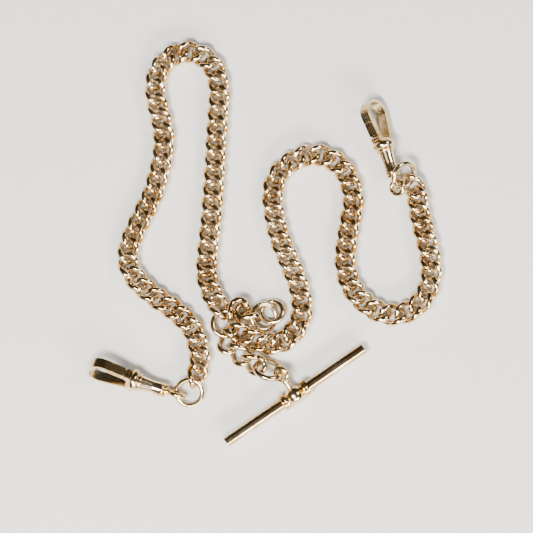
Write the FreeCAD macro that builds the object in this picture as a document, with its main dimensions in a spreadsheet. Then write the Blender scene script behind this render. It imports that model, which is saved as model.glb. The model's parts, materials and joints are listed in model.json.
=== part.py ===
"""A double Albert watch chain: two arms of curb links, a T-bar drop and a fob drop.

It lies flat with its clips turned up: +Z is up, and the origin is on the table
under the middle of the whole layout. All sizes are millimetres.
"""
import FreeCAD, Part
import math
import os
from FreeCAD import Placement, Rotation, Vector

DOC = FreeCAD.newDocument("WatchChain")
X_AXIS = Vector(1, 0, 0)
Y_AXIS = Vector(0, 1, 0)
Z_AXIS = Vector(0, 0, 1)

SIZES = [
    # curb links
    ("link_length", 7.5),
    ("link_width", 5.8),
    ("link_wire", 1.42),
    ("link_twist", 57),
    ("link_lean", 48),
    ("link_pitch", 3.85),
    # rings, by the radius of the wire's centre line and the wire's own thickness
    ("centre_ring_radius", 3.2),
    ("centre_ring_wire", 1.3),
    ("jump_ring_radius", 3.3),
    ("jump_ring_wire", 1.4),
    ("clip_ring_radius", 3.2),
    ("clip_ring_wire", 1.3),
    ("fob_ring_radius", 3.2),
    ("fob_ring_wire", 1.3),
    ("end_ring_radius", 2.75),
    ("end_ring_wire", 1.3),
    # T-bar
    ("bar_length", 41.4),
    ("bar_radius", 1.32),
    ("bar_wall", 0.35),
    ("cap_thickness", 0.5),
    ("boss_radius", 2.4),
    ("collar_radius", 2.15),
    ("collar_bead", 0.35),
    ("collar_offset", 2.75),
    ("collar_step", 0.75),
    ("bar_eye_radius", 1.6),
    ("bar_eye_wire", 1.3),
    ("bar_eye_reach", 6.3),
    ("neck_radius", 0.75),
    ("neck_ball_radius", 0.95),
    ("neck_ball_reach", 4.2),
    # dog clips
    ("bead_radius", 2.9),
    ("bead_half", 1.05),
    ("lip_radius", 2.3),
    ("lip_bead", 0.35),
    ("lip_drop", 1.45),
    ("barrel_top_radius", 1.95),
    ("barrel_waist_radius", 1.55),
    ("barrel_foot_radius", 1.7),
    ("barrel_length", 6.9),
    ("waist_share", 0.7),
    ("cavity_radius", 1.15),
    ("bush_radius", 1.8),
    ("bush_length", 1.7),
    ("shank_radius", 0.62),
    ("shank_head_radius", 1.0),
    ("shank_head_length", 0.8),
    ("eye_radius", 1.75),
    ("eye_wire", 1.3),
    ("eye_reach", 11.2),
    ("hook_reach", 11.9),
    ("hook_bow_radius", 3.6),
    ("hook_foot_half", 2.3),
    ("band_width", 2.6),
    ("band_thickness", 0.65),
    ("cheek_thickness", 0.4),
    ("gate_width", 2.5),
    ("gate_thickness", 1.35),
    ("gate_seam", 6.3),
    ("knuckle_radius", 0.75),
    ("gate_pin_radius", 0.35),
    ("spring_thickness", 0.2),
    ("spring_width", 1.3),
    # fits
    ("running_clearance", 0.06),
    ("seam_clearance", 0.1),
    # the layout's own zero, brought to the middle of the whole
    ("layout_shift_x", -3.88),
    ("layout_shift_y", -6.09),
]

SHEET = DOC.addObject("Spreadsheet::Sheet", "Sizes")
for row, (alias, value) in enumerate(SIZES, start=1):
    SHEET.set("A%d" % row, alias)
    SHEET.set("B%d" % row, str(value))
    SHEET.setAlias("B%d" % row, alias)
DOC.recompute()


def size(alias):
    """The plain number of one cell of the sheet."""
    return float(SHEET.get(alias))


def bind(item, **rules):
    """Tie properties of a document object to the sheet."""
    for prop, rule in rules.items():
        item.setExpression(prop, rule)
    return item


# ---------------------------------------------------------------- where things lie

ROUTE_Z = 1.9

# The left arm, from the centre ring round the tall loop to its clip.
LEFT_ROUTE = [
    (-8.6, -9.2), (-9.6, -7), (-10.6, -4), (-10.9, 0), (-10.5, 5), (-10, 10),
    (-9.6, 15), (-9.2, 20), (-8.9, 25), (-8.7, 30), (-8.4, 35), (-8.1, 40),
    (-7.9, 44.5), (-8.6, 49), (-11, 52.7), (-15, 54.6), (-19.2, 53.9),
    (-22.5, 51.1), (-24, 47), (-23.8, 42.5), (-22.9, 38.5), (-22.1, 35),
    (-21.8, 32), (-22.1, 28.2), (-22.8, 24.2), (-23.9, 20.2), (-25.2, 16.5),
    (-27, 12.8), (-28.8, 9), (-30.2, 5.2), (-30.6, 1.5), (-29.5, -2.1),
    (-27, -5.2), (-23.8, -8), (-20, -10.6), (-16.5, -13.6), (-14, -17),
    (-12.8, -21), (-12.6, -24.6), (-14, -29),
]
# The right arm, from the centre ring over the T-bar drop and round to its clip.
RIGHT_ROUTE = [
    (11, -16.6), (12.7, -13.2), (12.9, -9.8), (12.3, -6.2), (11.1, -2.5),
    (9.6, 1.2), (8, 5), (6.8, 9), (6, 13), (5.6, 17.2), (6.2, 21.2),
    (8.5, 24.8), (12, 27.2), (16, 28.2), (20, 27.2), (23.2, 24.5),
    (25.1, 20.8), (25.8, 16.2), (25.2, 12), (24.4, 7.8), (23.8, 3.5),
    (23.9, -0.8), (25, -4.8), (27.2, -8.2), (30.5, -10.9), (34.2, -12.4),
    (38, -12.1), (41.4, -10.4), (43.8, -7.2), (45.1, -3.5), (45.2, 0.5),
    (44.5, 4.8), (43.5, 8.8), (42.6, 12.5), (42.2, 16), (41.6, 21),
]

LEFT_LINKS = 44
RIGHT_LINKS = 42
GROUP = 3
SPLINE_STEPS = 30

# Loose links that lie askew: place (x, y, z), heading, rise and roll in degrees.
CENTRE_RING_POSE = (-6.1, -14.7, 2.15, 0, 0, 0)
LEFT_START = [
    (-7.8, -10.5, 2.25, 113, -3, 25),
]
RIGHT_START = [
    (-2.35, -17.0, 2.65, -30, 6, 37),
    (1.15, -18.9, 2.85, -31, -1, 18),
    (4.7, -19.75, 2.5, -3, -14, 12),
    (8.25, -19.1, 2.05, 26, 0, 13),
]
LEFT_END = [
    (-13.02, -19.93, 1.95, -76, 0, -7),
    (-12.52, -23.75, 2.0, -93.3, 0, -14),
    (-13.33, -27.57, 2.23, -108, 7, -29),
]
RIGHT_END = [
    (42.55, 12.79, 1.95, 99.8, 0, -7),
    (42.13, 16.62, 2.0, 96.6, 0, -14),
    (40.91, 20.12, 2.15, 127.3, 3.2, -21.7),
]
LEFT_RING_POSE = (-15.05, -31.95, 1.97, -34, -9, 7)
RIGHT_RING_POSE = (38.48, 22.42, 4.39, -72.9, -41.7, -25.2)
BAR_DROP = [
    (-5.8, -19.15, 2.55, -78, 4, 35),
    (-2.95, -22.4, 2.75, -42, 8, 40),
    (0.8, -24.87, 3.03, -33, 1, 38),
]
JUMP_RING_POSE = (4.55, -26.45, 3.42, -38, 21, -40)
FOB_DROP = [
    (-3.3, -11.6, 2.9, 51, 17, 41),
    (-0.6, -12.45, 2.95, -23, -9, 117),
]
FOB_RING_POSE = (3.45, -13.0, 1.85, 1, -19, 9)
END_RING_POSE = (5.4, -11.7, 1.45, 24, 6, -16)


def direction(heading, rise=0):
    """The unit vector at a heading in plan, lifted by a rise."""
    turn = math.radians(heading)
    lift = math.radians(rise)
    flat = math.cos(lift)
    return Vector(flat * math.cos(turn), flat * math.sin(turn), math.sin(lift))


def along(place, ahead, roll=0):
    """A placement whose X axis points ahead, with Y level before the roll."""
    x = Vector(ahead).normalize()
    y = Z_AXIS.cross(x).normalize()
    z = x.cross(y)
    lean = math.radians(roll)
    tilted_y = y * math.cos(lean) + z * math.sin(lean)
    tilted_z = z * math.cos(lean) - y * math.sin(lean)
    return Placement(Vector(place), Rotation(x, tilted_y, tilted_z))


def posed(pose):
    x, y, z, heading, rise, roll = pose
    return along(Vector(x, y, z), direction(heading, rise), roll)


def smooth_route(points):
    """Points close together on a smooth curve through the chosen ones."""
    knots = [Vector(x, y, ROUTE_Z) for x, y in points]
    last = len(knots) - 1
    curve = []
    for i in range(last):
        start, end = knots[i], knots[i + 1]
        leave = (end - knots[max(i - 1, 0)]) * 0.5
        reach = (knots[min(i + 2, last)] - start) * 0.5
        for step in range(SPLINE_STEPS):
            t = step / SPLINE_STEPS
            from_start = 2 * t**3 - 3 * t**2 + 1
            from_leave = t**3 - 2 * t**2 + t
            from_reach = t**3 - t**2
            spot = start * from_start + leave * from_leave
            spot += end * (1 - from_start) + reach * from_reach
            curve.append(spot)
    curve.append(knots[last])
    return curve


def stepped(curve, first, pitch, count):
    """Places one pitch apart along the curve, after the first one."""
    places = []
    here = first
    curve = [first] + curve
    for a, b in zip(curve, curve[1:]):
        while len(places) < count and (b - here).Length >= pitch > (a - here).Length:
            low, high = 0.0, 1.0
            while high - low > 1e-9:
                middle = (low + high) / 2
                if (a + (b - a) * middle - here).Length >= pitch:
                    high = middle
                else:
                    low = middle
            here = a + (b - a) * high
            places.append(here)
    if len(places) < count:
        heading = (curve[-1] - curve[-2]).normalize()
        while len(places) < count:
            here = here + heading * pitch
            places.append(here)
    return places


def arm_placements(start, route, total, end):
    """Every link of one arm: loose ones, those on the route, and the rolled last ones."""
    loose = [posed(pose) for pose in start]
    first = loose[-1].Base
    places = stepped(smooth_route(route), first, size("link_pitch"), total - len(loose))
    spots = [first] + places
    placements = list(loose)
    for k in range(1, len(spots)):
        ahead = spots[min(k + 1, len(spots) - 1)] - spots[k - 1]
        placements.append(along(spots[k], ahead))
    placements[-len(end):] = [posed(pose) for pose in end]
    return placements


LEFT_ARM = arm_placements(LEFT_START, LEFT_ROUTE, LEFT_LINKS, LEFT_END)
RIGHT_ARM = arm_placements(RIGHT_START, RIGHT_ROUTE, RIGHT_LINKS, RIGHT_END)

# ---------------------------------------------------------------- the curb link


def bend_of(start, tangent, end):
    """The arc that leaves start along tangent and reaches end."""
    chord = end - start
    axis = tangent.cross(chord).normalize()
    inward = axis.cross(tangent)
    rise = chord.dot(inward)
    radius = chord.dot(chord) / (2 * rise)
    angle = 2 * math.atan2(rise, chord.dot(tangent))
    return start + inward * radius, axis, math.degrees(angle)


def curb_link():
    """One twisted link: a ring of round wire made of eight arcs that run into each other.

    Its ends lean one way and the other by link_twist about the long axis, and its
    sides cross over at link_lean, both left-handed. One quarter is two arcs, and half
    turns about the three axes give the rest.
    """
    wire = size("link_wire")
    twist = -math.radians(size("link_twist"))
    lean = -math.radians(size("link_lean"))
    side = Vector(0, (size("link_width") - wire) / 2, 0)
    tip = Vector((size("link_length") - wire) / 2, 0, 0)
    side_way = Vector(math.cos(lean), 0, math.sin(lean))
    tip_way = Vector(0, -math.cos(twist), -math.sin(twist))
    span = tip - side
    ways = side_way + tip_way
    spread = 2 * (1 - side_way.dot(tip_way))
    reach = span.dot(ways)
    handle = (math.sqrt(reach**2 + spread * span.dot(span)) - reach) / spread
    joint = (side + tip + (side_way - tip_way) * handle) * 0.5

    profile = Part.makeCircle(wire / 2)
    profile.Placement = Placement(side, Rotation(Y_AXIS, side_way.cross(Y_AXIS), side_way))
    centre, axis, angle = bend_of(side, side_way, joint)
    quarter = [profile.revolve(centre, axis, angle)]
    profile.rotate(centre, axis, angle)
    joint_way = Rotation(axis, angle).multVec(side_way)
    centre, axis, angle = bend_of(joint, joint_way, tip)
    quarter.append(profile.revolve(centre, axis, angle))

    faces = [face for arc in quarter for face in arc.Faces]
    for turn_axis in (X_AXIS, Y_AXIS, Z_AXIS):
        for arc in quarter:
            turned = arc.copy()
            turned.rotate(Vector(), turn_axis, 180)
            faces += turned.Faces
    skin = Part.makeShell(faces)
    skin.sewShape()
    solid = Part.makeSolid(skin)
    if solid.Volume < 0:
        solid.reverse()
    return solid


MASTER_LINK = curb_link()
NODES = []


def keep(item, name, placement=None):
    """Name a finished sub-part, put it in its place and list it as a node."""
    item.Label = name
    if placement is not None:
        item.Placement = placement
    NODES.append(item)
    return item


def link_group(name, placements):
    """Neighbouring links in one node, in the frame of the middle one."""
    home = placements[len(placements) // 2]
    copies = []
    for placement in placements:
        one = MASTER_LINK.copy()
        one.Placement = home.inverse() * placement
        copies.append(one)
    group = DOC.addObject("Part::Feature", name)
    group.Shape = Part.makeCompound(copies)
    return keep(group, name, home)


def grouped(placements):
    """The links three by three, with what is left over in the last group."""
    return [placements[k:k + GROUP] for k in range(0, len(placements), GROUP)]


LEFT_GROUPS = grouped(LEFT_ARM)
RIGHT_GROUPS = grouped(RIGHT_ARM)
for number, group in enumerate(LEFT_GROUPS, start=1):
    link_group("left_links_%02d" % number, group)
for number, group in enumerate(RIGHT_GROUPS, start=1):
    link_group("right_links_%02d" % number, group)
for number, pose in enumerate(BAR_DROP, start=1):
    link_group("bar_drop_link_%d" % number, [posed(pose)])
for number, pose in enumerate(FOB_DROP, start=1):
    link_group("fob_drop_link_%d" % number, [posed(pose)])

# ---------------------------------------------------------------- rings


def ring(name, kind, placement):
    """A closed round ring in the XY plane of its placement."""
    hoop = DOC.addObject("Part::Torus", name)
    bind(hoop, Radius1="Sizes.%s_radius" % kind, Radius2="Sizes.%s_wire / 2" % kind)
    return keep(hoop, name, placement)


CENTRE_RING = posed(CENTRE_RING_POSE)
JUMP_RING = posed(JUMP_RING_POSE)
ring("centre_ring", "centre_ring", CENTRE_RING)
ring("bar_jump_ring", "jump_ring", JUMP_RING)
ring("fob_round_ring", "fob_ring", posed(FOB_RING_POSE))
ring("fob_end_ring", "end_ring", posed(END_RING_POSE))
ring("left_clip_ring", "clip_ring", posed(LEFT_RING_POSE))
ring("right_clip_ring", "clip_ring", posed(RIGHT_RING_POSE))

# ---------------------------------------------------------------- small builders


def cylinder(name, radius, height, base=Vector(), axis=Z_AXIS):
    """A cylinder from base along axis, its sizes given as rules on the sheet."""
    item = DOC.addObject("Part::Cylinder", name)
    bind(item, Radius=radius, Height=height)
    item.Placement = Placement(base, Rotation(Z_AXIS, axis))
    return item


def cone(name, low, high, height, base):
    item = DOC.addObject("Part::Cone", name)
    bind(item, Radius1=low, Radius2=high, Height=height)
    item.Placement = Placement(base, Rotation())
    return item


def torus(name, radius, wire_radius, centre=Vector(), axis=Z_AXIS):
    item = DOC.addObject("Part::Torus", name)
    bind(item, Radius1=radius, Radius2=wire_radius)
    item.Placement = Placement(centre, Rotation(Z_AXIS, axis))
    return item


def sphere(name, radius, centre=Vector()):
    item = DOC.addObject("Part::Sphere", name)
    bind(item, Radius=radius)
    item.Placement = Placement(centre, Rotation())
    return item


def fused(name, shapes):
    item = DOC.addObject("Part::MultiFuse", name)
    item.Shapes = shapes
    return item


def cut(name, base, tool):
    item = DOC.addObject("Part::Cut", name)
    item.Base = base
    item.Tool = tool
    return item


def plate(name, edges, width):
    """A flat outline in the XZ plane padded to both sides of it."""
    body = DOC.addObject("PartDesign::Body", name)
    sketch = body.newObject("Sketcher::SketchObject", name + "_outline")
    plane = [f for f in body.Origin.OriginFeatures if f.Role == "XZ_Plane"][0]
    sketch.AttachmentSupport = (plane, [""])
    sketch.MapMode = "FlatFace"
    for edge in edges:
        sketch.addGeometry(edge, False)
    pad = body.newObject("PartDesign::Pad", name + "_pad")
    pad.Profile = sketch
    pad.SideType = "Symmetric"
    bind(pad, Length=width)
    return body


def outline(*corners):
    """Straight edges round a closed polygon, in sketch coordinates."""
    spots = [Vector(x, z, 0) for x, z in corners]
    return [Part.LineSegment(a, b) for a, b in zip(spots, spots[1:] + spots[:1])]


# ---------------------------------------------------------------- the T-bar

BAR_TURN = 34.5
COLLAR_ROUND = 0.3
BAR_HOLD_TURN = 22
BAR_EYE_ROLL = -49.6
EYE_HOLD = JUMP_RING.multVec(direction(BAR_HOLD_TURN) * size("jump_ring_radius"))
BAR_RISE = math.asin((EYE_HOLD.z - size("boss_radius")) / size("bar_eye_reach"))
BAR_EYE_WAY = direction(BAR_TURN + 90, math.degrees(BAR_RISE))
BAR_CENTRE = EYE_HOLD - BAR_EYE_WAY * size("bar_eye_reach")
BAR = Placement(BAR_CENTRE, Rotation(BAR_EYE_WAY, Z_AXIS, direction(BAR_TURN) * -1))


def middle(length, axis=Z_AXIS):
    """The start of a piece of that length centred on the local zero."""
    return axis * (-length / 2)


def bar_tube():
    inner_length = size("bar_length") - 2 * size("cap_thickness")
    outer = cylinder("tube_outer", "Sizes.bar_radius",
                     "Sizes.bar_length - 2 * Sizes.cap_thickness", middle(inner_length))
    bore = cylinder("tube_bore", "Sizes.bar_radius - Sizes.bar_wall",
                    "Sizes.bar_length - 2 * Sizes.cap_thickness", middle(inner_length))
    keep(cut("bar_tube", outer, bore), "bar_tube", BAR)


def bar_caps():
    half = size("bar_length") / 2
    low = cylinder("cap_low", "Sizes.bar_radius", "Sizes.cap_thickness",
                   Vector(0, 0, -half))
    high = cylinder("cap_high", "Sizes.bar_radius", "Sizes.cap_thickness",
                    Vector(0, 0, half - size("cap_thickness")))
    pair = DOC.addObject("Part::Compound", "bar_end_caps")
    pair.Links = [low, high]
    keep(pair, "bar_end_caps", BAR)


def bar_boss():
    ball = sphere("boss_ball", "Sizes.boss_radius")
    bore = cylinder("boss_bore", "Sizes.bar_radius", "2 * Sizes.boss_radius",
                    middle(2 * size("boss_radius")))
    keep(cut("bar_boss", ball, bore), "bar_boss", BAR)


def bar_collars():
    beads = []
    for number, side in enumerate((-1, -1, 1, 1)):
        offset = size("collar_offset") + (number % 2) * size("collar_step")
        low = Vector(0, 0, side * offset - size("collar_bead"))
        disc = cylinder("collar_disc_%d" % number, "Sizes.collar_radius",
                        "2 * Sizes.collar_bead", low)
        rounded = DOC.addObject("Part::Fillet", "collar_round_%d" % number)
        rounded.Base = disc
        rounded.Edges = [(1, COLLAR_ROUND, COLLAR_ROUND), (3, COLLAR_ROUND, COLLAR_ROUND)]
        bore = cylinder("collar_bore_%d" % number, "Sizes.bar_radius",
                        "2 * Sizes.collar_bead", low)
        beads.append(cut("collar_%d" % number, rounded, bore))
    group = DOC.addObject("Part::Compound", "bar_collars")
    group.Links = beads
    keep(group, "bar_collars", BAR)


def bar_eye():
    hoop_axis = Rotation(X_AXIS, -BAR_EYE_ROLL).multVec(Z_AXIS)
    eye = torus("bar_eye_hoop", "Sizes.bar_eye_radius", "Sizes.bar_eye_wire / 2",
                Vector(size("bar_eye_reach"), 0, 0), hoop_axis)
    neck = cylinder("bar_eye_neck", "Sizes.neck_radius",
                    "Sizes.bar_eye_reach - Sizes.bar_eye_radius", Vector(), X_AXIS)
    ball = sphere("bar_eye_ball", "Sizes.neck_ball_radius",
                  Vector(size("neck_ball_reach"), 0, 0))
    seat = sphere("bar_eye_seat", "Sizes.boss_radius")
    whole = fused("bar_eye_whole", [eye, neck, ball])
    keep(cut("bar_eye", whole, seat), "bar_eye", BAR)


bar_tube()
bar_caps()
bar_boss()
bar_collars()
bar_eye()

# ---------------------------------------------------------------- the dog clips

CAVITY_FLOOR = 1.2
CAVITY_HEIGHT = 1.1
HOOK_SLOT_START = 0.6
HOOK_KEEP = 0.2
SEAM_SLOPE = 0.6
GATE_NECK_HALF = 0.5
GATE_NECK_LAP = 0.3
PIVOT_PROUD = 0.1
SPRING_TOP = 3.9
SPRING_BEND = 3.3
SPRING_FOOT = 2.6
SPRING_KICK = 0.55


def clip_placement(eye, heading, rise, roll, hand):
    """The clip's frame: Z towards the hook's tip, X towards the gate."""
    ahead = direction(heading, rise)
    side = Z_AXIS.cross(ahead).normalize()
    above = ahead.cross(side)
    lean = math.radians(roll)
    gate_way = side * (hand * math.cos(lean)) + above * math.sin(lean)
    bead = eye + ahead * size("eye_reach")
    return Placement(bead, Rotation(gate_way, ahead.cross(gate_way), ahead))


LEFT_CLIP = clip_placement(Vector(-18.2, -32.47, 2.35), 162.7, 4.6, 66, -1)
RIGHT_CLIP = clip_placement(Vector(36.83, 19.53, 3.49), 107, 0.4, 45, 1)
LEFT_EYE_ROLL = 142
RIGHT_EYE_ROLL = 94.6


def side_line():
    """The gate side of the hook's outline: where its straight flank meets the bow."""
    foot = size("bead_half")
    centre = size("hook_reach") - size("hook_bow_radius")
    half = size("hook_foot_half")
    radius = size("hook_bow_radius")
    reach = math.hypot(half, centre - foot)
    turn = math.asin(radius / reach) - math.atan2(half, centre - foot)
    return Vector(radius * math.cos(turn), centre - radius * math.sin(turn), 0), turn


def flank_x(z):
    """How far out the hook's straight flank is at a height."""
    tangent, _ = side_line()
    foot = size("bead_half")
    half = size("hook_foot_half")
    return half + (tangent.x - half) * (z - foot) / (tangent.y - foot)


def loop_edges(inset, foot):
    """The hook's pear outline, pulled in by inset and closed across at foot."""
    tangent, turn = side_line()
    centre_z = size("hook_reach") - size("hook_bow_radius")
    radius = size("hook_bow_radius") - inset
    shift = Vector(math.cos(turn), -math.sin(turn), 0) * inset
    right = tangent - shift
    slope = (flank_x(foot + 1) - flank_x(foot))
    foot_x = flank_x(foot) - inset * math.sqrt(1 + slope**2)
    low_right = Vector(foot_x, foot, 0)
    low_left = Vector(-foot_x, foot, 0)
    left = Vector(-right.x, right.y, 0)
    bow = Part.Arc(right, Vector(0, centre_z + radius, 0), left)
    return [
        Part.LineSegment(low_left, low_right),
        Part.LineSegment(low_right, right),
        bow,
        Part.LineSegment(left, low_left),
    ]


def seam_at(x, gap=0.0):
    """The height of the slanted seam between gate and hook."""
    return size("gate_seam") + (flank_x(size("gate_seam")) - x) * SEAM_SLOPE - gap


def pivot():
    """The gate's pin: just above the bead, near the flank."""
    up = size("bead_half") + size("running_clearance") + size("knuckle_radius")
    return Vector(flank_x(up) - size("knuckle_radius") + PIVOT_PROUD, 0, up)


def gate_foot():
    """The height at which the gate's tongue starts, just clear of the cheeks."""
    return pivot().z + size("knuckle_radius") + size("seam_clearance")


def gate_back(z):
    """How far out the back face of the gate's tongue is at a height."""
    foot = gate_foot()
    foot_x = flank_x(foot) - size("gate_thickness")
    top_x = flank_x(size("gate_seam")) - size("gate_thickness")
    top = seam_at(top_x, size("seam_clearance"))
    return foot_x + (top_x - foot_x) * (z - foot) / (top - foot)


def hook(side):
    foot = size("bead_half")
    floor = foot + size("band_thickness")
    band = plate(side + "_hook_band", loop_edges(0, foot)
                 + loop_edges(size("band_thickness"), floor), "Sizes.band_width")
    far = size("hook_bow_radius") + 1
    mouth = plate(side + "_hook_mouth", outline(
        (HOOK_KEEP, floor), (far, floor), (far, seam_at(far)), (HOOK_KEEP, seam_at(HOOK_KEEP)),
    ), "Sizes.band_width + 1")
    slot = plate(side + "_hook_slot", outline(
        (HOOK_SLOT_START, foot), (far, foot), (far, floor), (HOOK_SLOT_START, floor),
    ), "Sizes.band_width - 2 * Sizes.cheek_thickness")
    hinge = pivot()
    cheeks = []
    for number, sign in enumerate((-1, 1)):
        outer = Vector(hinge.x, sign * size("band_width") / 2, hinge.z)
        lug = cylinder("%s_lug_%d" % (side, number), "Sizes.knuckle_radius",
                       "Sizes.cheek_thickness", outer,
                       Vector(0, -sign, 0))
        cheeks.append(lug)
    opened = cut(side + "_hook_open", cut(side + "_hook_ring", band, mouth), slot)
    whole = fused(side + "_hook_whole", [opened] + cheeks)
    bore = cylinder(side + "_hook_bore", "Sizes.gate_pin_radius", "Sizes.band_width + 1",
                    Vector(hinge.x, -(size("band_width") + 1) / 2, hinge.z), Y_AXIS)
    return cut(side + "_hook", whole, bore)


def gate(side):
    hinge = pivot()
    gap = size("seam_clearance")
    start = gate_foot()
    top_out = flank_x(size("gate_seam"))
    top_in = top_out - size("gate_thickness")
    tongue = plate(side + "_tongue", outline(
        (gate_back(start), start), (flank_x(start), start),
        (top_out, seam_at(top_out, gap)), (top_in, seam_at(top_in, gap)),
    ), "Sizes.gate_width")
    inner_width = ("Sizes.band_width - 2 * Sizes.cheek_thickness"
                   " - 2 * Sizes.running_clearance")
    neck = plate(side + "_gate_neck", outline(
        (hinge.x - GATE_NECK_HALF, hinge.z), (hinge.x + GATE_NECK_HALF, hinge.z),
        (hinge.x + GATE_NECK_HALF, start + GATE_NECK_LAP),
        (hinge.x - GATE_NECK_HALF, start + GATE_NECK_LAP),
    ), inner_width)
    reach = size("band_width") / 2 - size("cheek_thickness") - size("running_clearance")
    knuckle = cylinder(side + "_knuckle", "Sizes.knuckle_radius", inner_width,
                       Vector(hinge.x, -reach, hinge.z), Y_AXIS)
    whole = fused(side + "_gate_whole", [tongue, neck, knuckle])
    bore = cylinder(side + "_gate_bore", "Sizes.gate_pin_radius + Sizes.running_clearance",
                    "Sizes.band_width", Vector(hinge.x, -size("band_width") / 2, hinge.z),
                    Y_AXIS)
    return cut(side + "_gate", whole, bore)


def gate_pin(side):
    hinge = pivot()
    return cylinder(side + "_gate_pin", "Sizes.gate_pin_radius", "Sizes.band_width",
                    Vector(hinge.x, -size("band_width") / 2, hinge.z), Y_AXIS)


def gate_spring(side):
    thick = size("spring_thickness")
    top = gate_back(SPRING_TOP)
    root = gate_back(SPRING_BEND)
    foot = root - SPRING_KICK
    return plate(side + "_gate_spring", outline(
        (top, SPRING_TOP), (root, SPRING_BEND), (foot, SPRING_FOOT),
        (foot - thick, SPRING_FOOT), (root - thick, SPRING_BEND),
        (top - thick, SPRING_TOP),
    ), "Sizes.spring_width")


def barrel(side):
    half = size("bead_half")
    waist = size("barrel_length") * size("waist_share")
    bead = torus(side + "_bead", "Sizes.bead_radius - Sizes.bead_half", "Sizes.bead_half")
    core = cylinder(side + "_bead_core", "Sizes.bead_radius - Sizes.bead_half",
                    "2 * Sizes.bead_half", Vector(0, 0, -half))
    lip = torus(side + "_lip", "Sizes.lip_radius - Sizes.lip_bead", "Sizes.lip_bead",
                Vector(0, 0, -size("lip_drop")))
    upper = cone(side + "_upper", "Sizes.barrel_waist_radius", "Sizes.barrel_top_radius",
                 "Sizes.barrel_length * Sizes.waist_share - Sizes.bead_half",
                 Vector(0, 0, -waist))
    lower = cone(side + "_lower", "Sizes.barrel_foot_radius", "Sizes.barrel_waist_radius",
                 "Sizes.barrel_length * (1 - Sizes.waist_share)",
                 Vector(0, 0, -size("barrel_length")))
    whole = fused(side + "_barrel_whole", [bead, core, lip, upper, lower])
    floor = CAVITY_FLOOR - size("barrel_length")
    cavity = cylinder(side + "_cavity", "Sizes.cavity_radius", "%s" % CAVITY_HEIGHT,
                      Vector(0, 0, floor))
    bore = cylinder(side + "_bore", "Sizes.shank_radius + Sizes.running_clearance",
                    "%s" % (CAVITY_FLOOR + 0.01), Vector(0, 0, -size("barrel_length")))
    return cut(side + "_barrel", whole, fused(side + "_hollow", [cavity, bore]))


def end_bush(side):
    low = -size("barrel_length") - size("bush_length")
    bead = size("bush_length") / 4
    tube = cylinder(side + "_bush_tube", "Sizes.bush_radius - Sizes.bush_length / 4",
                    "Sizes.bush_length", Vector(0, 0, low))
    rims = [tube]
    for number, share in enumerate((1, 3)):
        rims.append(torus("%s_bush_rim_%d" % (side, number),
                          "Sizes.bush_radius - Sizes.bush_length / 4",
                          "Sizes.bush_length / 4", Vector(0, 0, low + share * bead)))
    bore = cylinder(side + "_bush_bore", "Sizes.shank_radius + Sizes.running_clearance",
                    "Sizes.bush_length", Vector(0, 0, low))
    return cut(side + "_end_ring", fused(side + "_bush_whole", rims), bore)


def swivel_eye(side):
    hoop = torus(side + "_eye_hoop", "Sizes.eye_radius", "Sizes.eye_wire / 2",
                 Vector(0, 0, -size("eye_reach")), Y_AXIS)
    start = size("eye_radius") - size("eye_reach")
    head_low = CAVITY_FLOOR - size("barrel_length") + size("running_clearance")
    shank = cylinder(side + "_shank", "Sizes.shank_radius", "%s" % (head_low - start),
                     Vector(0, 0, start))
    head = cylinder(side + "_shank_head", "Sizes.shank_head_radius",
                    "Sizes.shank_head_length", Vector(0, 0, head_low))
    return fused(side + "_swivel_eye", [hoop, shank, head])


def clip(side, place, eye_roll):
    """All pieces of one clip; the eye has its own turn about the shank."""
    keep(barrel(side), side + "_barrel", place)
    keep(end_bush(side), side + "_end_ring", place)
    keep(hook(side), side + "_hook", place)
    keep(gate(side), side + "_gate", place)
    keep(gate_pin(side), side + "_gate_pin", place * gate_pin_seat())
    keep(gate_spring(side), side + "_gate_spring", place)
    turned = place * Placement(Vector(), Rotation(Z_AXIS, eye_roll))
    keep(swivel_eye(side), side + "_swivel_eye", turned)


def gate_pin_seat():
    hinge = pivot()
    seat = Vector(hinge.x, -size("band_width") / 2, hinge.z)
    return Placement(seat, Rotation(Z_AXIS, Y_AXIS))


clip("left", LEFT_CLIP, LEFT_EYE_ROLL)
clip("right", RIGHT_CLIP, RIGHT_EYE_ROLL)

# ---------------------------------------------------------------- move, check and write

SHIFT = Placement(Vector(size("layout_shift_x"), size("layout_shift_y"), 0), Rotation())
for node in NODES:
    node.Placement = SHIFT * node.Placement
DOC.recompute()

for item in DOC.Objects:
    if "Invalid" in item.State or "Error" in item.State:
        raise RuntimeError("%s did not build" % item.Label)
for node in NODES:
    if node.Shape.isNull() or not node.Shape.isValid():
        raise RuntimeError("%s has no valid shape" % node.Label)

os.makedirs("parts", exist_ok=True)
for node in NODES:
    node.Shape.exportStep("parts/%s.step" % node.Label)
print(len(NODES), "sub-parts")
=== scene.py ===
"""Looks for a double Albert watch chain: curb links, rings, T-bar and two dog clips."""
import json
import math

import bpy
import numpy as np
from mathutils import Matrix, Vector


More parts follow.
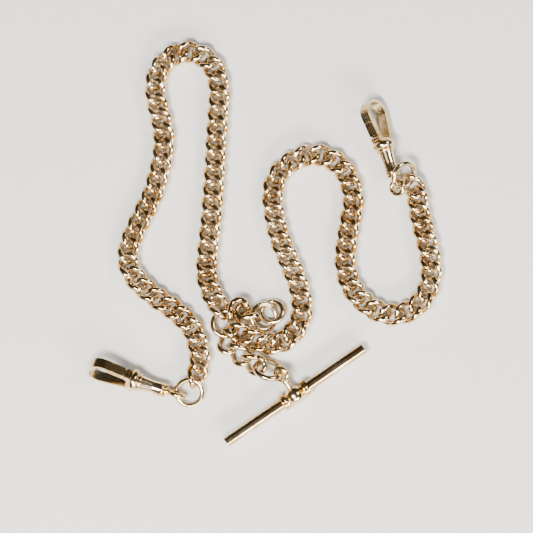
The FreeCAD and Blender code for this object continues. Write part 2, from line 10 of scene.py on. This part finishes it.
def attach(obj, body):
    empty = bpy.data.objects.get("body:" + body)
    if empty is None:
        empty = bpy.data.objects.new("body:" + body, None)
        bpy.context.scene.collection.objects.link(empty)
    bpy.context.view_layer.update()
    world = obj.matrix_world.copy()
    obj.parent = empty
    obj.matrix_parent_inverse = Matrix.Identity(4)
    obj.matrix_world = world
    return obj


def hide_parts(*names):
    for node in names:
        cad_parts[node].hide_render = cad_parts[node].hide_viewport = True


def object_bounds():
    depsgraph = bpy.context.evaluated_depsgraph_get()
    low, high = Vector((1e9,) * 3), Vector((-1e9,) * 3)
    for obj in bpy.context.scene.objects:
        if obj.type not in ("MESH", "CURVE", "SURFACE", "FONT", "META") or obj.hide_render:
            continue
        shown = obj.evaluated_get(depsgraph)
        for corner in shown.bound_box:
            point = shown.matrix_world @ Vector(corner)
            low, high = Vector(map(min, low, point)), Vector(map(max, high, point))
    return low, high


bl_info = {
    "name": "Watch Chain Looks",
    "version": (1, 0, 0),
    "blender": (4, 5, 0),
    "location": "View3D > Sidebar > Watch Chain",
    "description": "Dresses a packed watch chain in worn rose gold",
    "category": "Object",
}

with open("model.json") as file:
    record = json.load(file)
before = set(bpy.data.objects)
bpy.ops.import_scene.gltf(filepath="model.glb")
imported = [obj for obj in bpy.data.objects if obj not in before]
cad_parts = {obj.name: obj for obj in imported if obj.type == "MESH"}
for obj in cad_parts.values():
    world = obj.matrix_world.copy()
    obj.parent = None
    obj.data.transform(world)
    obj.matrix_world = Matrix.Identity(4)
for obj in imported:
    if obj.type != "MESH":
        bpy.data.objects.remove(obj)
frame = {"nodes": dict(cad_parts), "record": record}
CAD_BOX = [list(corner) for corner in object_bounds()]
CAD_NODES = frame["nodes"]
BODY_NODES = frame["record"]["behaviour"]["bodies"]
BODY_OF = {node: body for body, nodes in BODY_NODES.items() for node in nodes}

MM = 0.001

# The gold's surface, by the size of its patches, specks and scratches.
WEAR_PATCH = 5 * MM
SPECK = 0.35 * MM
SCRATCH = 0.08 * MM
# Bands of a noise or a mask, from where it starts to where it is full.
WORN_BAND = (0.38, 0.62)
# The band of the painted shade on the inward faces of the wire.
HOLLOW_SHADE_BAND = (0.25, 0.95)
OPEN_GRIME_BAND = (0.62, 0.9)
# How much dirt settles where a surface has no hollows to hold it.
OPEN_GRIME = 0.2
# How much the links differ from each other in colour.
LINK_SHADES = 0.22
TONE_SEED = 7

STEEL_DARK = (0.16, 0.15, 0.15, 1)
STEEL_PALE = (0.32, 0.29, 0.27, 1)

# Each light: name, place, width and depth, watts, colour.
LIGHTS = (
    ("key", (-0.20, -0.35, 0.75), (0.40, 0.14), 19.0, (1.0, 0.97, 0.91)),
    ("fill", (0.60, 0.25, 0.7), (0.25, 0.25), 5.0, (0.96, 0.97, 1.0)),
    ("front", (0.35, -0.75, 0.45), (0.8, 0.18), 17.0, (1.0, 0.95, 0.88)),
)
ROOM_COLOUR = (0.8, 0.82, 0.85, 1)
ROOM_STRENGTH = 0.05
FLOOR_HALF = 1.5
FLOOR_GRAIN = 3 * MM
FLOOR_SHADE = 0.97
SENSOR_WIDTH = 36
AIM = Vector((0.0002, -0.0064, 0.002))

# Outputs that have no name of their own: a Mix node's colour and a random number.
MIXED_COLOUR = 2
RANDOM_NUMBER = 1

# ---------------------------------------------------------------- what a user may change


class ChainSizes(bpy.types.PropertyGroup):
    link_length: bpy.props.FloatProperty(
        name="Link length", description="Outer length of one curb link",
        default=7.5 * MM, unit="LENGTH", precision=5)
    link_width: bpy.props.FloatProperty(
        name="Link width", description="Outer width of one curb link before its twist",
        default=5.8 * MM, unit="LENGTH", precision=5)
    link_wire: bpy.props.FloatProperty(
        name="Link wire", description="Thickness of the links' wire",
        default=1.42 * MM, unit="LENGTH", precision=5)
    link_twist: bpy.props.FloatProperty(
        name="End lean", description="How far a link's ends lean about its long axis",
        default=math.radians(57), subtype="ANGLE")
    link_lean: bpy.props.FloatProperty(
        name="Side lean", description="The angle at which a link's sides cross over",
        default=math.radians(48), subtype="ANGLE")
    arc_steps: bpy.props.IntProperty(
        name="Arc steps", description="Sections in each of a link's eight arcs",
        default=9, min=3)
    wire_sides: bpy.props.IntProperty(
        name="Wire sides", description="Faces round the wire", default=22, min=8)
    ring_steps: bpy.props.IntProperty(
        name="Ring steps", description="Sections round a ring", default=80, min=24)


class GoldLook(bpy.types.PropertyGroup):
    rose: bpy.props.FloatVectorProperty(
        name="Rose gold", description="The links' own colour",
        default=(0.60, 0.40, 0.18), subtype="COLOR", min=0, max=1)
    pale: bpy.props.FloatVectorProperty(
        name="Worn rose gold", description="Where handling has brightened the links",
        default=(0.93, 0.74, 0.46), subtype="COLOR", min=0, max=1)
    yellow: bpy.props.FloatVectorProperty(
        name="Yellow gold", description="The bushes, the end ring and the boss",
        default=(0.84, 0.58, 0.20), subtype="COLOR", min=0, max=1)
    # Painted shade: this near-black colour darkens the hollows of the links and rings; on the
    # clips and bushes it is the colour of dirt specks.
    grime_and_shade: bpy.props.FloatVectorProperty(
        name="Old grime", description="What has settled in the hollows",
        default=(0.045, 0.022, 0.010), subtype="COLOR", min=0, max=1)
    polish: bpy.props.FloatProperty(
        name="Roughness", description="Roughness of the polished gold",
        default=0.13, min=0, max=1)
    # How strongly the painted shade in the hollows, and the dirt specks, show.
    grime_and_shade_amount: bpy.props.FloatProperty(
        name="Grime amount", description="How dark the hollows are",
        default=0.8, min=0, max=1)


class StageLook(bpy.types.PropertyGroup):
    floor: bpy.props.FloatVectorProperty(
        name="Floor", description="Colour of the floor",
        default=(0.74, 0.73, 0.71), subtype="COLOR", min=0, max=1)
    view_width: bpy.props.FloatProperty(
        name="View width", description="How much of the floor the picture spans",
        default=133.25 * MM, unit="LENGTH", precision=4)
    elevation: bpy.props.FloatProperty(
        name="Camera elevation", description="The camera's angle above the floor",
        default=math.radians(81), subtype="ANGLE")
    lens: bpy.props.FloatProperty(
        name="Lens", description="Focal length of the camera", default=180, min=10)


# ---------------------------------------------------------------- shader sums


class Value:
    """One shader socket that adds, subtracts and multiplies like a number."""

    def __init__(self, desk, socket):
        self.desk = desk
        self.socket = socket

    def math(self, operation, a, b):
        return self.desk.node("ShaderNodeMath", {"operation": operation}, {0: a, 1: b})

    def __add__(self, other):
        return self.math("ADD", self, other)

    __radd__ = __add__

    def __sub__(self, other):
        return self.math("SUBTRACT", self, other)

    def __rsub__(self, other):
        return self.math("SUBTRACT", other, self)

    def __mul__(self, other):
        return self.math("MULTIPLY", self, other)

    __rmul__ = __mul__


class Desk:
    """A material's node tree, with one method that adds any node."""

    def __init__(self, name):
        self.material = bpy.data.materials.new(name)
        self.material.use_nodes = True
        self.tree = self.material.node_tree
        self.tree.nodes.clear()

    def node(self, kind, settings, inputs, output=0):
        made = self.tree.nodes.new(kind)
        for key, value in settings.items():
            setattr(made, key, value)
        for key, value in inputs.items():
            if isinstance(value, Value):
                self.tree.links.new(value.socket, made.inputs[key])
            else:
                made.inputs[key].default_value = value
        return Value(self, made.outputs[output])

    def place(self):
        """Where a point of the object is, in metres."""
        return self.node("ShaderNodeTexCoord", {}, {}, "Object")

    def band(self, value, low, high):
        """0 below low, 1 above high and smooth between them."""
        return self.node("ShaderNodeMapRange", {"interpolation_type": "SMOOTHSTEP"},
                         {"Value": value, "From Min": low, "From Max": high})

    def blend(self, mask, low, high):
        return self.node("ShaderNodeMix", {"data_type": "RGBA"},
                         {0: mask, 6: low, 7: high}, MIXED_COLOUR)

    def noise(self, place, size, detail=3):
        """Even grey noise with lumps of about that size in metres."""
        return self.node("ShaderNodeTexNoise", {},
                         {"Vector": place, "Scale": 1 / size, "Detail": detail})

    def attribute(self, name):
        return self.node("ShaderNodeAttribute", {"attribute_name": name}, {}, "Fac")

    def finish(self, colour, roughness, metallic, normal):
        shader = self.node("ShaderNodeBsdfPrincipled", {},
                           {"Base Color": colour, "Roughness": roughness,
                            "Metallic": metallic, "Normal": normal})
        output = self.tree.nodes.new("ShaderNodeOutputMaterial")
        self.tree.links.new(shader.socket, output.inputs["Surface"])
        return self.material


def rgba(colour):
    return (*colour, 1.0)


def worn_gold(name, own, bright, look, hollows):
    """Polished gold, brighter where it is worn, with painted shade in the hollows where
    hollows says, and dirt specks where it does not.
    """
    desk = Desk(name)
    place = desk.place()
    cloud = desk.noise(place, WEAR_PATCH)
    speck = desk.noise(place, SPECK, 6)
    fine = desk.noise(place, SCRATCH, 2)
    worn = desk.band(cloud + 0.25 * (speck - 0.5), *WORN_BAND)
    metal = desk.blend(worn, rgba(own), rgba(bright))
    if hollows:
        # Painted shade: the inward faces of the wire, in the links' hollows, darken towards
        # the near-black colour.
        inward = desk.attribute("hollow")
        tone = desk.attribute("tone")
        mask = desk.band(inward + 0.7 * (speck - 0.5) + 0.2 * (tone - 0.5), *HOLLOW_SHADE_BAND)
        metal = desk.blend(LINK_SHADES * tone, metal, rgba(own))
    else:
        mask = desk.band(speck + 0.5 * (cloud - 0.5), *OPEN_GRIME_BAND) * OPEN_GRIME
    # How far the near-black colour covers the metal: painted shade in the hollows, dirt specks
    # on open surfaces.
    grime_and_shade = mask * look.grime_and_shade_amount
    colour = desk.blend(grime_and_shade, metal, rgba(look.grime_and_shade))
    roughness = look.polish + 0.1 * speck + 0.35 * grime_and_shade
    metallic = 1 - 0.55 * grime_and_shade
    scratches = desk.node("ShaderNodeBump", {}, {"Strength": 0.06, "Distance": 0.02 * MM,
                                                 "Height": fine + 0.8 * speck})
    return desk.finish(colour, roughness, metallic, scratches)


def blued_steel():
    """Thin dark steel, mottled."""
    desk = Desk("blued steel leaf")
    speck = desk.noise(desk.place(), 0.3 * MM, 5)
    colour = desk.blend(desk.band(speck, 0.4, 0.7), STEEL_DARK, STEEL_PALE)
    bump = desk.node("ShaderNodeBump", {}, {"Strength": 0.15, "Distance": 0.02 * MM,
                                            "Height": speck})
    return desk.finish(colour, 0.3 + 0.2 * speck, 0.9 + 0.1 * speck, bump)


# ---------------------------------------------------------------- where links and rings lie


def solid_facts(corners):
    """Volume, centre and principal axes of a closed triangle mesh, long axis first."""
    middle = corners.reshape(-1, 3).mean(0)
    a, b, c = (corners[:, k] - middle for k in range(3))
    volumes = np.einsum("ij,ij->i", a, np.cross(b, c)) / 6
    total = volumes.sum()
    centre = np.einsum("i,ij->j", volumes, a + b + c) / (4 * total)
    spread = sum(np.einsum("i,ij,ik->jk", volumes, p, p) for p in (a, b, c, a + b + c)) / 20
    spread -= total * np.outer(centre, centre)
    _, ways = np.linalg.eigh(spread)
    x, y = Vector(ways[:, 2]), Vector(ways[:, 1])
    turn = Matrix((x, y, x.cross(y))).transposed()
    return total, Vector(middle + centre), turn


def triangles(node):
    """A CAD node's triangles, as an array of corners."""
    mesh = CAD_NODES[node].data
    mesh.calc_loop_triangles()
    corners = np.zeros(len(mesh.vertices) * 3)
    mesh.vertices.foreach_get("co", corners)
    index = np.zeros(len(mesh.loop_triangles) * 3, int)
    mesh.loop_triangles.foreach_get("vertices", index)
    return corners.reshape(-1, 3)[index].reshape(-1, 3, 3)


LINK_VOLUME = solid_facts(triangles("bar_drop_link_1"))[0]


def solids_of(node):
    """Centre and turn of each like solid of a node: its triangles come solid by solid."""
    corners = triangles(node)
    count = max(1, round(solid_facts(corners)[0] / LINK_VOLUME))
    return [solid_facts(share)[1:] for share in np.split(corners, count)]


# ---------------------------------------------------------------- lines that wire follows


def bend(start, leave, end, steps):
    """Points of the arc that leaves start along leave and reaches end."""
    chord = end - start
    axis = leave.cross(chord).normalized()
    inward = axis.cross(leave)
    rise = chord.dot(inward)
    radius = chord.dot(chord) / (2 * rise)
    centre = start + inward * radius
    angle = 2 * math.atan2(rise, chord.dot(leave))
    turns = [Matrix.Rotation(angle * k / steps, 3, axis) for k in range(steps)]
    points = [centre + turn @ (start - centre) for turn in turns]
    return points, Matrix.Rotation(angle, 3, axis) @ leave


def link_line(sizes):
    """The closed centre line of a twisted curb link, long axis along X."""
    half_width = (sizes.link_width - sizes.link_wire) / 2
    half_length = (sizes.link_length - sizes.link_wire) / 2
    side, tip = Vector((0, half_width, 0)), Vector((half_length, 0, 0))
    lean, twist = -sizes.link_lean, -sizes.link_twist
    side_way = Vector((math.cos(lean), 0, math.sin(lean)))
    tip_way = Vector((0, -math.cos(twist), -math.sin(twist)))
    span, ways = tip - side, side_way + tip_way
    spread = 2 * (1 - side_way.dot(tip_way))
    reach = span.dot(ways)
    handle = (math.sqrt(reach**2 + spread * span.dot(span)) - reach) / spread
    joint = (side + tip + (side_way - tip_way) * handle) / 2
    first, joint_way = bend(side, side_way, joint, sizes.arc_steps)
    second, _ = bend(joint, joint_way, tip, sizes.arc_steps)
    quarter = first + second
    far = [Vector((p.x, -p.y, -p.z)) for p in reversed(quarter[1:])]
    half = quarter + [tip] + far
    return half + [Vector((-p.x, -p.y, p.z)) for p in half]


def ring_line(radius, steps):
    """A closed circle in the XY plane."""
    angles = [2 * math.pi * k / steps for k in range(steps)]
    return [Vector((radius * math.cos(a), radius * math.sin(a), 0)) for a in angles]


def line_object(name, points):
    """A curve object of one closed line through the points."""
    curve = bpy.data.curves.new(name, "CURVE")
    curve.dimensions = "3D"
    spline = curve.splines.new("POLY")
    spline.points.add(len(points) - 1)
    for spot, point in zip(spline.points, points):
        spot.co = (*point, 1)
    spline.use_cyclic_u = True
    line = bpy.data.objects.new(name, curve)
    bpy.context.scene.collection.objects.link(line)
    return line


# ---------------------------------------------------------------- wire loops by Geometry Nodes


def wire_loop_tree():
    """Round wire along a closed line, set out at every point with that point's turn."""
    tree = bpy.data.node_groups.new("Wire loops", "GeometryNodeTree")
    sockets = (("Geometry", "INPUT", "NodeSocketGeometry"),
               ("Line", "INPUT", "NodeSocketObject"),
               ("Wire radius", "INPUT", "NodeSocketFloat"),
               ("Wire sides", "INPUT", "NodeSocketInt"),
               ("Finish", "INPUT", "NodeSocketMaterial"),
               ("Geometry", "OUTPUT", "NodeSocketGeometry"))
    for name, way, kind in sockets:
        tree.interface.new_socket(name, in_out=way, socket_type=kind)

    def add(kind, settings=None, **links):
        node = tree.nodes.new(kind)
        for key, value in (settings or {}).items():
            setattr(node, key, value)
        for key, value in links.items():
            socket = node.inputs[key.replace("_", " ")]
            if isinstance(value, bpy.types.NodeSocket):
                tree.links.new(value, socket)
            else:
                socket.default_value = value
        return node

    given = add("NodeGroupInput").outputs
    line = add("GeometryNodeObjectInfo", Object=given["Line"])
    round_wire = add("GeometryNodeCurvePrimitiveCircle", Radius=given["Wire radius"],
                     Resolution=given["Wire sides"])
    wire = add("GeometryNodeCurveToMesh", Curve=line.outputs["Geometry"],
               Profile_Curve=round_wire.outputs["Curve"])
    smooth = add("GeometryNodeSetShadeSmooth", Geometry=wire.outputs["Mesh"])
    spot = add("GeometryNodeInputPosition").outputs["Position"]
    face = add("GeometryNodeInputNormal").outputs["Normal"]
    outward = add("ShaderNodeVectorMath", {"operation": "NORMALIZE"})
    tree.links.new(spot, outward.inputs[0])
    facing = add("ShaderNodeVectorMath", {"operation": "DOT_PRODUCT"})
    tree.links.new(face, facing.inputs[0])
    tree.links.new(outward.outputs["Vector"], facing.inputs[1])
    # How far each face looks inward, towards the loop's middle: the gold finishes paint shade
    # there.
    inward = add("ShaderNodeMath", {"operation": "MULTIPLY"})
    tree.links.new(facing.outputs["Value"], inward.inputs[0])
    inward.inputs[1].default_value = -1
    hollow = add("GeometryNodeStoreNamedAttribute", {"data_type": "FLOAT", "domain": "POINT"},
                 Geometry=smooth.outputs["Geometry"], Name="hollow",
                 Value=inward.outputs["Value"])
    turn = add("GeometryNodeInputNamedAttribute", {"data_type": "FLOAT_VECTOR"}, Name="turn")
    rotation = add("FunctionNodeEulerToRotation", Euler=turn.outputs["Attribute"])
    copies = add("GeometryNodeInstanceOnPoints", Points=given["Geometry"],
                 Instance=hollow.outputs["Geometry"], Rotation=rotation.outputs["Rotation"])
    chance = add("FunctionNodeRandomValue", {"data_type": "FLOAT"}, Seed=TONE_SEED)
    tone = add("GeometryNodeStoreNamedAttribute", {"data_type": "FLOAT", "domain": "INSTANCE"},
               Geometry=copies.outputs["Instances"], Name="tone")
    tree.links.new(chance.outputs[RANDOM_NUMBER], tone.inputs["Value"])
    whole = add("GeometryNodeRealizeInstances", Geometry=tone.outputs["Geometry"])
    dressed = add("GeometryNodeSetMaterial", Geometry=whole.outputs["Geometry"],
                  Material=given["Finish"])
    result = add("NodeGroupOutput")
    tree.links.new(dressed.outputs["Geometry"], result.inputs["Geometry"])
    return tree


def wire_loops(name, places, line, radius, sides, finish):
    """One mesh of wire loops, each at its own centre and turn."""
    mesh = bpy.data.meshes.new(name + "_places")
    mesh.from_pydata([centre for centre, _ in places], [], [])
    turns = mesh.attributes.new("turn", "FLOAT_VECTOR", "POINT")
    for slot, (_, turn) in zip(turns.data, places):
        slot.vector = turn.to_euler("XYZ")
    host = bpy.data.objects.new(name + "_places", mesh)
    bpy.context.scene.collection.objects.link(host)
    tree = bpy.data.node_groups.get("Wire loops") or wire_loop_tree()
    modifier = host.modifiers.new("loops", "NODES")
    modifier.node_group = tree
    settings = {"Line": line, "Wire radius": radius, "Wire sides": sides, "Finish": finish}
    for item in tree.interface.items_tree:
        if item.in_out == "INPUT" and item.name in settings:
            modifier[item.identifier] = settings[item.name]
    bpy.context.view_layer.update()
    ready = host.evaluated_get(bpy.context.evaluated_depsgraph_get())
    made = bpy.data.meshes.new_from_object(ready)
    made.name = name
    host.modifiers.remove(modifier)
    bpy.data.objects.remove(host)
    piece = bpy.data.objects.new(name, made)
    bpy.context.scene.collection.objects.link(piece)
    return piece


def place_for(piece, node):
    """The piece rides where its CAD node does and stands for it."""
    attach(piece, BODY_OF[node])
    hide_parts(node)


def dress(node, finish):
    """A CAD node keeps its own shape and takes a finish."""
    slots = CAD_NODES[node].data.materials
    slots.clear()
    slots.append(finish)


def finish_named(name):
    return bpy.data.materials[name]


# ---------------------------------------------------------------- the operators


class CHAIN_OT_finishes(bpy.types.Operator):
    """Make the gold and steel finishes"""
    bl_idname = "chain.finishes"
    bl_label = "Finishes"

    def execute(self, context):
        look = context.scene.chain_gold
        worn_gold("link gold", look.rose, look.pale, look, True)
        worn_gold("ring gold", look.rose, look.pale, look, True)
        worn_gold("end ring gold", look.yellow, look.pale, look, True)
        worn_gold("clip gold", look.rose, look.pale, look, False)
        worn_gold("bush gold", look.yellow, look.pale, look, False)
        blued_steel()
        return {"FINISHED"}


class CHAIN_OT_links(bpy.types.Operator):
    """Set out the curb links of both arms and both drops"""
    bl_idname = "chain.links"
    bl_label = "Curb Links"

    def execute(self, context):
        sizes = context.scene.chain_sizes
        line = line_object("link_line", link_line(sizes))
        for node in [name for name in CAD_NODES if "link" in name]:
            piece = wire_loops("curb_" + node, solids_of(node), line, sizes.link_wire / 2,
                               sizes.wire_sides, finish_named("link gold"))
            place_for(piece, node)
        bpy.data.objects.remove(line)
        return {"FINISHED"}


class CHAIN_OT_rings(bpy.types.Operator):
    """Set out the plain rings"""
    bl_idname = "chain.rings"
    bl_label = "Rings"

    def execute(self, context):
        sizes = context.scene.chain_sizes
        rings = {"centre_ring": "ring gold", "bar_jump_ring": "ring gold",
                 "fob_round_ring": "ring gold", "fob_end_ring": "end ring gold",
                 "left_clip_ring": "ring gold", "right_clip_ring": "ring gold"}
        for node, finish in rings.items():
            corners = triangles(node)
            _, centre, turn = solid_facts(corners)
            spots = (corners.reshape(-1, 3) - np.array(centre)) @ np.array(turn)
            wire = spots[:, 2].max()
            radius = np.hypot(spots[:, 0], spots[:, 1]).max() - wire
            line = line_object(node + "_line", ring_line(radius, sizes.ring_steps))
            piece = wire_loops("round_" + node, [(centre, turn)], line, wire,
                               sizes.wire_sides, finish_named(finish))
            place_for(piece, node)
            bpy.data.objects.remove(line)
        return {"FINISHED"}


class CHAIN_OT_bar(bpy.types.Operator):
    """Finish the T-bar"""
    bl_idname = "chain.bar"
    bl_label = "T-Bar"

    def execute(self, context):
        for node in ("bar_tube", "bar_end_caps"):
            dress(node, finish_named("clip gold"))
        for node in ("bar_boss", "bar_collars", "bar_eye"):
            dress(node, finish_named("bush gold"))
        return {"FINISHED"}


class CHAIN_OT_clips(bpy.types.Operator):
    """Finish both dog clips"""
    bl_idname = "chain.clips"
    bl_label = "Dog Clips"

    def execute(self, context):
        for side in ("left", "right"):
            for part in ("barrel", "hook", "gate", "gate_pin"):
                dress(f"{side}_{part}", finish_named("clip gold"))
            for part in ("end_ring", "swivel_eye"):
                dress(f"{side}_{part}", finish_named("bush gold"))
            dress(f"{side}_gate_spring", finish_named("blued steel leaf"))
        return {"FINISHED"}


class CHAIN_OT_stage(bpy.types.Operator):
    """Lay the floor, hang the lights and set the camera"""
    bl_idname = "chain.stage"
    bl_label = "Stage"

    def execute(self, context):
        look = context.scene.chain_stage
        self.lay_floor(look, min(CAD_BOX[0][2], 0.0))
        self.hang_lights(context)
        self.set_camera(context, look)
        return {"FINISHED"}

    def hang_lights(self, context):
        for name, place, size, power, colour in LIGHTS:
            lamp = bpy.data.lights.new(name, "AREA")
            lamp.shape = "RECTANGLE"
            lamp.size, lamp.size_y = size
            lamp.energy = power
            lamp.color = colour
            light = bpy.data.objects.new(name, lamp)
            light.location = place
            light.rotation_euler = (-Vector(place)).to_track_quat("-Z", "Y").to_euler()
            context.scene.collection.objects.link(light)
        world = bpy.data.worlds.new("soft room")
        world.use_nodes = True
        glow = world.node_tree.nodes["Background"].inputs
        glow["Color"].default_value = ROOM_COLOUR
        glow["Strength"].default_value = ROOM_STRENGTH
        context.scene.world = world

    def lay_floor(self, look, low):
        half = FLOOR_HALF
        mesh = bpy.data.meshes.new("floor")
        mesh.from_pydata([(-half, -half, low), (half, -half, low), (half, half, low),
                          (-half, half, low)], [], [(0, 1, 2, 3)])
        desk = Desk("pale floor")
        grain = desk.noise(desk.place(), FLOOR_GRAIN)
        shade = [c * FLOOR_SHADE for c in look.floor]
        colour = desk.blend(grain, rgba(look.floor), rgba(shade))
        bump = desk.node("ShaderNodeBump", {}, {"Strength": 0.03, "Distance": 0.1 * MM,
                                                "Height": grain})
        mesh.materials.append(desk.finish(colour, 0.55 + 0.1 * grain, 0.0, bump))
        floor = bpy.data.objects.new("floor", mesh)
        bpy.context.scene.collection.objects.link(floor)

    def set_camera(self, context, look):
        sight = bpy.data.cameras.new("camera")
        sight.lens = look.lens
        sight.sensor_width = SENSOR_WIDTH
        distance = look.view_width * look.lens / sight.sensor_width
        back = Vector((0, -math.cos(look.elevation), math.sin(look.elevation)))
        camera = bpy.data.objects.new("camera", sight)
        camera.location = AIM + back * distance
        camera.rotation_euler = (math.pi / 2 - look.elevation, 0, 0)
        sight.clip_start = 0.01
        context.scene.collection.objects.link(camera)
        context.scene.camera = camera


class CHAIN_PT_panel(bpy.types.Panel):
    bl_label = "Watch Chain"
    bl_idname = "CHAIN_PT_panel"
    bl_space_type = "VIEW_3D"
    bl_region_type = "UI"
    bl_category = "Watch Chain"

    def draw(self, context):
        for step in STEPS:
            self.layout.operator(step.bl_idname)


STEPS = (CHAIN_OT_stage, CHAIN_OT_finishes, CHAIN_OT_links, CHAIN_OT_rings, CHAIN_OT_bar,
         CHAIN_OT_clips)
CLASSES = (ChainSizes, GoldLook, StageLook) + STEPS + (CHAIN_PT_panel,)


def register():
    for each in CLASSES:
        bpy.utils.register_class(each)
    bpy.types.Scene.chain_sizes = bpy.props.PointerProperty(type=ChainSizes)
    bpy.types.Scene.chain_gold = bpy.props.PointerProperty(type=GoldLook)
    bpy.types.Scene.chain_stage = bpy.props.PointerProperty(type=StageLook)


def unregister():
    del bpy.types.Scene.chain_stage
    del bpy.types.Scene.chain_gold
    del bpy.types.Scene.chain_sizes
    for each in reversed(CLASSES):
        bpy.utils.unregister_class(each)


def main():
    register()
    for step in STEPS:
        module, name = step.bl_idname.split(".")
        getattr(getattr(bpy.ops, module), name)()


if __name__ == "__main__":
    main()
